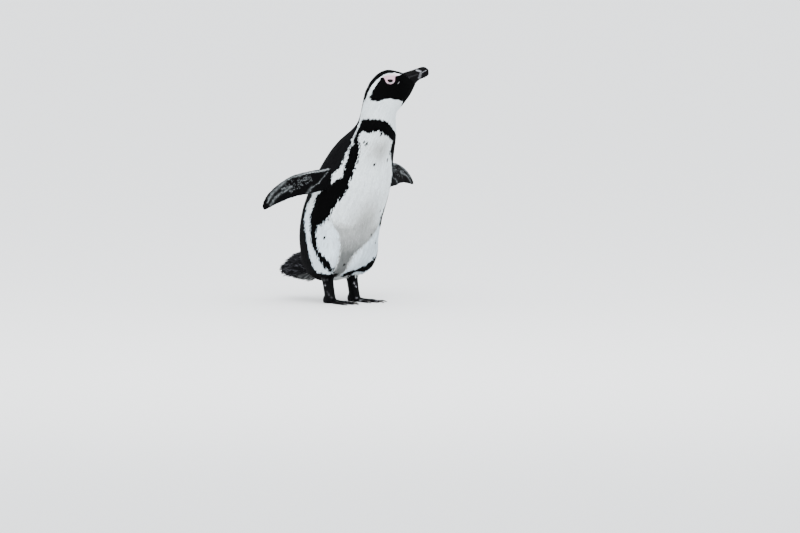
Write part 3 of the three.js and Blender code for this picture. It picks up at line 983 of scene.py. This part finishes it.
_, angle, _ = body_chart(place)
on_trunk = ((owner == TRUNK) | (owner == LEG_RIGHT) | (owner == LEG_LEFT)) & ~is_foot
front_of = np.abs(angle) < 88
left_of = angle > 0
front_vanes = (1.4, 12.0, 2.2, 2.2, 6, "plumage_white")     # spacing, length, width, rise (mm),
back_vanes = (1.65, 12.0, 2.6, 2.3, 5, "plumage_black")     # stray (degrees) and slot
neck_vanes = (1.3, 10.0, 2.2, 2.2, 5, "plumage_white")
coat_parts = (
    ("feathers_front_right", 11, on_trunk & front_of & ~left_of, front_vanes),
    ("feathers_front_left", 12, on_trunk & front_of & left_of, front_vanes),
    ("feathers_back_right", 13, on_trunk & ~front_of & ~left_of, back_vanes),
    ("feathers_back_left", 14, on_trunk & ~front_of & left_of, back_vanes),
    ("feathers_neck", 15, owner == NECK, neck_vanes),
)
for title, seed, where, (spacing, long, wide, rise, stray, slot) in coat_parts:
    roots, normals = scatter(where & ~is_foot, spacing, seed)
    flow = lying(roots, normals, tailward(roots), seed, stray)
    reach_there, angle_there, _ = body_chart(roots)
    # Feathers are finer up the neck. Each takes the colour of the place under its tip, moved a
    # little with its neighbours, so that the markings end in small teeth.
    fine = np.clip((450 - reach_there) / 110, 0.48, 1)
    shown = roots + flow * (long * fine * (0.75 + 0.34 * clusters(roots, 3.2)))[:, None]
    shown = shown + np.cross(normals, flow) * (3.4 * fine * clusters(roots + 50, 3.4))[:, None]
    jag = np.random.default_rng(seed).normal(0, 0.4, roots.shape)
    colour = plumage(shown + jag, owners(metres(shown)), seed)
    # Feathers whose tips hang over the shanks take the warm grey of painted shade, and the lowest
    # on the right, behind the leg, the black of painted shade under the body.
    low = shown[:, 2] < shank_top - 4
    colour[low | (colour == foot_black).all(1)] = shaded_warm_white
    colour[(shown[:, 2] < 67) & (shown[:, 0] < -20) & (shown[:, 1] > -62)] = black
    streak = clusters(np.stack((angle_there * 1.3, reach_there / 6, 0 * reach_there), 1), 2.6)
    colour *= (1 + 0.11 * streak)[:, None]
    colour[on_spot(roots + flow * (long * fine * 0.8)[:, None])] = black
    grow(title, roots, normals, flow, long * fine, wide * fine ** 0.8, rise * fine, colour,
         np.stack((angle_there, reach_there), 1), plume, seed)

# The head's feathers are the shortest of all, and none grow on the bare skin or before the bill.
roots, normals = scatter((owner == HEAD) & ~bare, 0.92, 21)
ahead, up, out = head_chart(roots)
from_bill = bill_base - ahead
keep = ~(within(bare_outline, ahead, up) & (np.abs(out) > 4))
keep &= ~((ahead > 203) & (up > 491) & (normals @ head_forward > 0.8))
flow = lying(roots, normals, tailward(roots), 21, 6)
long = 2.9 + 2.0 * ramp(from_bill, 0, 60)
shown = roots + flow * (long * 0.7)[:, None]
shown_ahead, shown_up, _ = head_chart(roots + flow * long[:, None] * 1.05)
keep &= ~within(bare_outline, shown_ahead, shown_up) | (np.abs(out) < 9)
roots, normals, flow, long, shown = (values[keep] for values in (roots, normals, flow, long, shown))
reach_there, angle_there, _ = body_chart(roots)
jag = np.random.default_rng(22).normal(0, 0.35, roots.shape)
rise = 0.35 + 0.75 * ramp(from_bill[keep], 0, 24)
colour = head_plumage(shown + jag)
grow("feathers_head", roots, normals, flow, long, 0.55 + long * 0.22, rise, colour,
     np.stack((angle_there, reach_there), 1), plume, 21, ragged=0.2)

# Each flipper is clad in tiny scale-like feathers that lie towards its tip; on the trailing edge
# they are a little longer and make a fine saw.
for number, title, seed in (
    (FLIPPER_RIGHT, "feathers_flipper_right", 31), (FLIPPER_LEFT, "feathers_flipper_left", 32),
):
    roots, normals = scatter(owner == number, 1.55, seed)
    root, tip, lead, under = flipper_frames[number]
    along, ahead, face = ((roots - root) @ axis for axis in (tip, lead, under))
    trailing = -(normals @ lead) > 0.6
    flow = lying(roots, normals, tip - lead * 0.25 - lead * trailing[:, None] * 0.8, seed, 7)
    long = 4.6 + (3.0 + 2.6 * clusters(roots, 3.2)) * trailing
    jag = np.random.default_rng(seed).normal(0, 0.5, roots.shape)
    colour = flipper_plumage(roots + flow * 2.5 + jag, number, seed)
    other_face = 90 * (face > 0)      # the two faces lie side by side on the unwrap
    grow(title, roots, normals, flow, long, 2.0, 0.65, colour,
         np.stack((ahead + other_face, along), 1), plume, seed, ragged=0.4)

# ------------------------------------------------------------------ the tail
# A short stiff wedge: long quills fanned side by side, with loose fluffy coverts over their roots.

tail_root, tail_tip = np.array((0.0, 62.0, 84.0)), np.array((-21.0, 141.0, 65.5))
tail_run = unit(tail_tip - tail_root)
tail_side = unit(np.cross(tail_run, np.array((0.0, 0.0, 1.0))))
tail_top = np.cross(tail_side, tail_run)
roots, normals = scatter(owner == TAIL, 1.6, 41)
flow = lying(roots, normals, np.tile(tail_run, (len(roots), 1)), 41, 8)
along = (roots - tail_root) @ tail_run
tail_long = (tail_tip - tail_root) @ tail_run
# Coverts grow in loose tufts, the longer ones standing higher, and end a little past the quills.
rng = np.random.default_rng(42)
tuft = clusters(roots, 6.5) + 1
longest = np.maximum(tail_long + 4 - along, 5)
long = np.clip(8 + 8 * tuft + rng.uniform(-2, 4, len(roots)), 5, longest)
colour = plumage(roots + flow * 9, np.full(len(roots), TAIL), 41)
worn_brown = (1, 1, 1.8, 4, 12)
colour = colour * rng.choice(worn_brown, len(roots))[:, None]
away = roots - tail_root
round_tail = np.degrees(np.arctan2(away @ tail_side, away @ tail_top))
grow("tail_coverts", roots, normals, flow, long, 2.3, 1.6 + 3.6 * tuft, colour,
     np.stack((round_tail, along), 1), plume, 41, ragged=0.3, stiff=0.6)


# The quills: stiff tapering vanes with a raised shaft, modelled once flat and copied along the fan.
quill_count = 18
quill_long, quill_wide, quill_thick = 92, 6.0, 0.45
fan_turn, fan_wide = 11, 17          # at the outermost quill, in degrees and mm
bpy.ops.mesh.primitive_grid_add(x_subdivisions=6, y_subdivisions=14, size=1)
quill = bpy.context.object
bpy.ops.object.modifier_add(type="SOLIDIFY")
quill.modifiers["Solidify"].thickness = quill_thick
quill.modifiers["Solidify"].offset = 0
flat = corners_of(quill.data)
share, side = flat[:, 1] + 0.5, flat[:, 0] * 2
round_end = np.sqrt(np.clip(1.02 - share ** 5, 0, 1))
breadth = quill_wide / 2 * (0.35 + 0.65 * np.minimum(1, share * 2.6)) * round_end
flat[:, 0] = side * breadth
flat[:, 1] = share * quill_long - np.abs(side) * 3 * share
flat[:, 2] = 1.3 * (1 - side ** 2) * (1 - 0.6 * share) + 0.35 * (np.abs(side) < 0.1)
flat[:, 2] -= 5 * share ** 2
set_corners(quill.data, flat)
bpy.ops.object.modifier_apply(modifier="Solidify")
one_quill = corners_of(quill.data)
with editing():
    bpy.ops.mesh.quads_convert_to_tris()
quill_faces = np.array([list(face.vertices) for face in quill.data.polygons])
bpy.data.objects.remove(quill)
quill_corners, quill_tones, quill_places = [], [], []
rng = np.random.default_rng(43)
for number in range(quill_count):
    fan = (number - (quill_count - 1) / 2) / ((quill_count - 1) / 2)
    turn = math.radians(fan_turn * fan + rng.uniform(-1.5, 1.5))
    run = tail_run * math.cos(turn) + tail_side * math.sin(turn)
    run = unit(run + tail_top * (-0.03 - 0.05 * abs(fan) + rng.uniform(-0.02, 0.02)))
    side = unit(np.cross(run, tail_top))
    top = np.cross(side, run)
    length = (1 - 0.18 * abs(fan) ** 1.5) * rng.uniform(0.86, 1.05)
    base = tail_root + tail_side * fan * fan_wide - tail_top * (4 + 3.5 * abs(fan)) - tail_run * 6
    base = base - tail_top * 0.5 * (number % 2)
    local = one_quill * (1, length, 1)
    quill_corners.append(base + local[:, :1] * side + local[:, 1:2] * run + local[:, 2:] * top)
    grey = rng.uniform(0.8, 2.2) * (1 + 1.2 * (rng.random() > 0.75))
    worn = np.clip(local[:, 1] / quill_long - 0.75, 0, 1) * 4
    quill_tones.append(slate * grey + (0.03 * worn ** 2)[:, None])
    quill_places.append(np.stack((
        0.02 + number / quill_count * 0.96 + (local[:, 0] / quill_wide + 0.5) * 0.05,
        0.02 + 0.94 * np.clip(local[:, 1] / quill_long + local[:, 2] * 0.002, 0, 1),
    ), 1))
rows = len(one_quill)
piece_from(
    "tail_quills", np.concatenate(quill_corners),
    np.concatenate([quill_faces + rows * number for number in range(quill_count)]),
    np.concatenate(quill_tones), np.clip(np.concatenate(quill_places), 0.005, 0.995),
    plume,
)

# ------------------------------------------------------------------ the scales of feet and shanks
# Hard little plates of horny skin that overlap downwards on the shank and towards the claws on the
# toes; the blotches of the skin below run through them.

sole_rim = 2.5
roots, normals = scatter(is_foot & (place[:, 2] > sole_rim), 1.75, 51)
shank_flow = np.array((0.0, -0.12, -1.0))
toe_flow = np.array((0.0, -1.0, -0.12))
low = ramp(roots[:, 2], 24, -12)[:, None]
flow = lying(roots, normals, shank_flow * (1 - low) + toe_flow * low, 51, 5)
keep = (normals[:, 2] > -0.5) & (roots[:, 2] < shank_top)
roots, normals, flow = roots[keep], normals[keep], flow[keep]
scale_tones = legs_and_feet(roots, 5)
scale_tones = scale_tones * np.random.default_rng(52).uniform(0.8, 1.3, len(roots))[:, None]
horny = finish(
    "foot_scales", lambda paint: grain(paint, 600) * 0.25 + 0.30, coat_look, skin_pores, 0.0001,
    Specular_IOR_Level=0.03,
)
# The scales' roots get painted shade, where they tuck under the scales before them.
grow("foot_scales", roots, normals, flow, 2.9, 2.5, 0.34, scale_tones,
     np.stack((roots[:, 0] + 0.35 * roots[:, 2], roots[:, 1]), 1), horny, 51,
     ragged=0.1, root_shade=0.8, camber=0.10)

# ------------------------------------------------------------------ the eyes
# Dark brown eyes, each a wet ball with a domed cornea, lodged in the socket behind its lids.

cornea = math.radians(33)
cornea_rise = 0.055       # how far the cornea stands out, as a share of the radius
pupil_edge, iris_edge, white_edge = (math.radians(value) for value in (15, 39, 46))
eye_look = finish("wet_eye", 0.06, stored("tone"), IOR=1.40, Specular_IOR_Level=0.07)
pupil_tone = np.array((0.0006, 0.0006, 0.0006))
iris_tone = np.array((0.0034, 0.0016, 0.0012))
rim_tone = np.array((0.0015, 0.001, 0.001))
ball_tone = np.array((0.02, 0.014, 0.014))


def named_piece(title):
    """The primitive just added, with its name."""
    piece = bpy.context.object
    piece.name = title
    piece.data.name = title
    return piece


for side, name in ((-1, "right"), (1, "left")):
    bpy.ops.mesh.primitive_uv_sphere_add(segments=64, ring_count=48, radius=eye_radius)
    ball = named_piece(f"eyeball_{name}")
    local = corners_of(ball.data)
    tilt = np.arccos(np.clip(local[:, 2] / eye_radius, -1, 1))
    local *= (1 + cornea_rise * np.clip(1 - (tilt / cornea) ** 2, 0, 1))[:, None]
    local *= (1 - 0.2 * ramp(tilt, 0.9, 0.6))[:, None]
    outward = unit(head_left * side + head_forward * 0.10 + np.array((0, 0, 0.04)))
    across = unit(np.cross(outward, (0, 0, 1)))
    upward = np.cross(across, outward)
    turned = local[:, :1] * across + local[:, 1:2] * upward + local[:, 2:] * outward
    set_corners(ball.data, metres(on_head(eye_ahead, eye_up, side * eye_out) + turned))
    rays = 0.75 + 0.5 * np.sin(np.arctan2(local[:, 1], local[:, 0]) * 23) ** 2
    tone = np.tile(ball_tone, (len(local), 1))
    tone[tilt < white_edge] = rim_tone
    iris = tilt < iris_edge
    tone[iris] = iris_tone * rays[iris, None]
    tone[tilt < pupil_edge] = pupil_tone
    store_colour(ball.data, "tone", tone)
    with editing():
        bpy.ops.mesh.normals_make_consistent(inside=False)
    complete(ball, eye_look, "eye", f"eye_{name}")

# ------------------------------------------------------------------ the lids and the mouth's corner
# Bare pink lids that ring each eye as a soft almond, creased like old leather and a little proud of
# the face, and the pale fleshy fold where the two halves of the mouth meet.

opening = (7.2, 3.7)      # half the length and height of the almond, and of the lids round it
lid_outside = (9.8, 8.0)
brow = 1.7                # how much higher the lids reach above than below
lid_pad = 0.8
gape_middle, gape_run = (187.8, 493.2), unit(np.array((4.4, 5.1)))
gape_long, gape_thick = 3.6, 0.75


def face_out(ahead, up, side):
    """How far out the head's coat lies there, in its profile plane."""
    start = metres(on_head(ahead, up, side * 60))
    hit = solid_tree.ray_cast(Vector(start), Vector(head_left * -side))[0]
    return float(abs(head_chart(bird_mm([hit]))[2][0]))


def lid_look(paint):
    return stored("tone")(paint).scaled(grain(paint, 900, 3) * 0.35 + 0.82)


lid_skin = finish(
    "lid_skin", 0.5, lid_look, lambda paint: grain(paint, 1400, 3), 0.0003,
    Specular_IOR_Level=0.3,
)
lid_pink = np.array((0.49, 0.31, 0.38))
lid_pale = np.array((0.27, 0.235, 0.265))
mouth_pale = np.array((0.15, 0.145, 0.15))
for side, name in ((-1, "right"), (1, "left")):
    bpy.ops.mesh.primitive_torus_add(major_segments=96, minor_segments=18)
    lid = named_piece(f"lids_{name}")
    local = corners_of(lid.data)
    around = np.arctan2(local[:, 1], local[:, 0])
    centre = np.stack((np.cos(around), np.sin(around)), 1)
    reach = (local[:, :2] * centre).sum(1) - 1
    turn = np.arctan2(local[:, 2], -reach)
    width = (1 - np.cos(turn)) / 2
    wide = opening[0] + (lid_outside[0] - opening[0]) * width
    tall = opening[1] + (lid_outside[1] + brow * np.sin(around) - opening[1]) * width
    rim = np.sin(around)
    rim = rim * (1 - width) * np.abs(rim) ** np.where(rim > 0, -0.15, 0.25) + rim * width
    ahead = eye_ahead + wide * np.cos(around)
    up = eye_up + 0.2 + tall * rim
    span = np.hypot(ahead - eye_ahead, up - eye_up)
    on_ball = eye_out + np.sqrt(np.maximum(eye_radius ** 2 - span ** 2, 1))
    on_ball += cornea_rise * eye_radius * np.clip(1 - (span / eye_radius / cornea) ** 2, 0, 1)
    edge_out = np.array([
        face_out(
            eye_ahead + lid_outside[0] * math.cos(turn_there),
            eye_up + (lid_outside[1] + brow * math.sin(turn_there)) * math.sin(turn_there), side,
        )
        for turn_there in around
    ])
    on_face = on_ball * (1 - width) + edge_out * width
    top = np.sin(turn)
    crease = 0.10 * np.cos(around * 26) * width + 0.10 * np.cos(width * 15 + np.sin(around * 5))
    lift = np.where(top > 0, (lid_pad + crease) * top, 2.6 * top) + 0.30 * (1 - width)
    over_ball = np.maximum(on_face + lift, on_ball + 0.5 + 0.3 * crease)
    stand = np.where(top > 0.02, over_ball, on_face + lift)
    points = np.array([on_head(a, u, side * o) for a, u, o in zip(ahead, up, stand)])
    set_corners(lid.data, metres(points))
    pale_share = np.clip(0.35 - np.sin(around) * 0.9, 0, 1)[:, None]
    store_colour(lid.data, "tone", lid_pink * (1 - pale_share) + lid_pale * pale_share)
    with editing():
        bpy.ops.mesh.normals_make_consistent(inside=False)
    complete(lid, lid_skin, "face_skin")

    bpy.ops.mesh.primitive_uv_sphere_add(segments=24, ring_count=14, radius=1)
    gape = named_piece(f"mouth_corner_{name}")
    local = corners_of(gape.data)
    local[:, 0] += 0.25 * local[:, 2] ** 2
    lengthways, sideways = local[:, 2] * gape_long, local[:, 0] * gape_thick
    ahead = gape_middle[0] + gape_run[0] * lengthways - gape_run[1] * sideways
    up = gape_middle[1] + gape_run[1] * lengthways + gape_run[0] * sideways
    base_out = face_out(*gape_middle, side) - 0.15
    slope = (face_out(191, 498, side) - face_out(185.5, 491, side)) / 2
    out = base_out + slope * local[:, 2] + local[:, 1] * gape_thick
    set_corners(gape.data, metres([on_head(a, u, side * o) for a, u, o in zip(ahead, up, out)]))
    store_colour(gape.data, "tone", np.tile(mouth_pale, (len(local), 1)))
    with editing():
        bpy.ops.mesh.normals_make_consistent(inside=False)
    complete(gape, lid_skin, "face_skin")

# ------------------------------------------------------------------ the bill
# Two halves of black horn, hooked at the tip. A groove runs from the slit of each nostril along the
# upper half, and a worn grey-white band crosses both halves behind the hook.

bill_look = finish(
    "bill_horn", lambda paint: grain(paint, 300) * 0.22 + 0.34,
    lambda paint: stored("tone")(paint).scaled(grain(paint, 420, 4) * 0.5 + 0.75),
    lambda paint: grain(paint, 900, 3) + grain(paint, 220, 2) * 1.5, 0.0002,
    Specular_IOR_Level=0.04,
)
horn_black = np.array((0.0011, 0.0011, 0.0014))
horn_pale = np.array((0.66, 0.67, 0.72))
bill_grooves = (  # line in profile, half width, depth
    (((214, 511.0), (221, 513.0), (229, 515.4), (238, 518.6), (244, 521.0)), 0.55, 0.42),
    (((215, 500.2), (224, 503.0), (233, 505.6), (241, 503.5)), 0.5, 0.22),
    (((218.5, 509.0), (223.5, 510.7)), 0.75, 1.25),
)
bill_pale = (  # line in profile, half width (mm), paleness
    (((227.0, 519.4), (230.0, 519.4), (233, 518.2), (236.0, 516.6)), 1.6, 0.36),
    (((235.4, 511.4), (234.8, 507.0), (233.2, 503.0)), 2.6, 0.13),
    (((236.7, 513.0), (243.0, 516.6), (248.8, 519.5)), 0.6, 0.28),
    (((202, 501.5), (214, 505.6), (228, 510.2)), 1.8, 0.016),
)
mouth_line = (
    (199, 499), (210, 503.5), (221, 507.8), (230, 509.5), (237, 508.2), (243.5, 504.5), (250, 499),
)
bill_weave = 0.00052
lip, root_tuck = 0.45, 3.0          # lips stand out to close the slit; the base is tucked in
for node in ("bill_upper", "bill_lower"):
    horn = join_copies((node,), f"{node}_horn")
    horn.data.remesh_voxel_size = bill_weave
    bpy.ops.object.voxel_remesh()
    soften(horn, np.ones(len(horn.data.vertices), bool), 7)
    shape, normal = bird_mm(corners_of(horn.data)), normals_of(horn.data)
    ahead, up, out = head_chart(shape)
    sink = np.full(len(shape), closing * 1000 * 0.75)
    for line, width, depth_here in bill_grooves:
        sink += depth_here * np.exp(-(from_line(line, ahead, up) / width) ** 2) * (np.abs(out) > 2)
    flakes = 0.10 * np.sin(ahead * 1.9 + 0.7 * up) * np.exp(-((ahead - 222) / 14) ** 2)
    behind = (shape - spine_middle[-1]) @ spine_run[-1]
    base = (behind < 1.6) & (normal @ spine_run[-1] < -0.5)
    lips = (from_line(mouth_line, ahead, up) < 1.3) & (ahead < 246)
    lips &= np.abs(normal @ head_left) < 0.75
    shape = shape - normal * np.where(base, 0, np.where(lips, -lip, sink + flakes))[:, None]
    shape[base] -= spine_run[-1] * root_tuck
    set_corners(horn.data, metres(shape))
    wobble = 0.5 * np.sin(up * 0.9 + ahead * 0.7) + 0.35 * np.sin(up * 0.6 - ahead * 1.5 + out)
    pale = np.zeros(len(shape))
    for line, width, amount in bill_pale:
        gap = np.maximum(from_line(line, ahead, up) + wobble * min(1, width / 2), 0) / width
        pale = np.maximum(pale, amount * np.exp(-gap ** 3))
    pale *= np.abs(out) > 0.8
    store_colour(horn.data, "tone", between(horn_black, horn_pale, pale[:, None]))
    complete(horn, bill_look, "bill_horn", node)

# ------------------------------------------------------------------ the claws
# Eight curved blackish claws, one at each toe's end, mottled with dark grey.

claw_look = finish(
    "claw_horn", 0.36,
    lambda paint: paint.node(
        "ShaderNodeValToRGB",
        {"stops": ((0.30, (0.004, 0.004, 0.004, 1)), (0.75, (0.05, 0.045, 0.04, 1)))},
        {"Fac": grain(paint, 420, 3)},
    ),
    lambda paint: grain(paint, 1500, 2), 0.0001, Specular_IOR_Level=0.3,
)
for side in ("right", "left"):
    for toe in ("inner", "middle", "outer", "hallux"):
        node = f"claw_{side}_{toe}"
        claw = bpy.data.objects.new(f"{node}_horn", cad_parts[node].data.copy())
        bpy.context.collection.objects.link(claw)
        hold(claw)
        with editing():
            bpy.ops.mesh.remove_doubles(threshold=1e-6)
            bpy.ops.mesh.tris_convert_to_quads()
        claw.data.materials.clear()
        bpy.ops.object.modifier_add(type="SUBSURF")
        claw.modifiers["Subdivision"].levels = 2
        claw.modifiers["Subdivision"].render_levels = 2
        bpy.ops.object.modifier_apply(modifier="Subdivision")
        complete(claw, claw_look, "claw_horn", node)

bpy.data.objects.remove(seedbed)
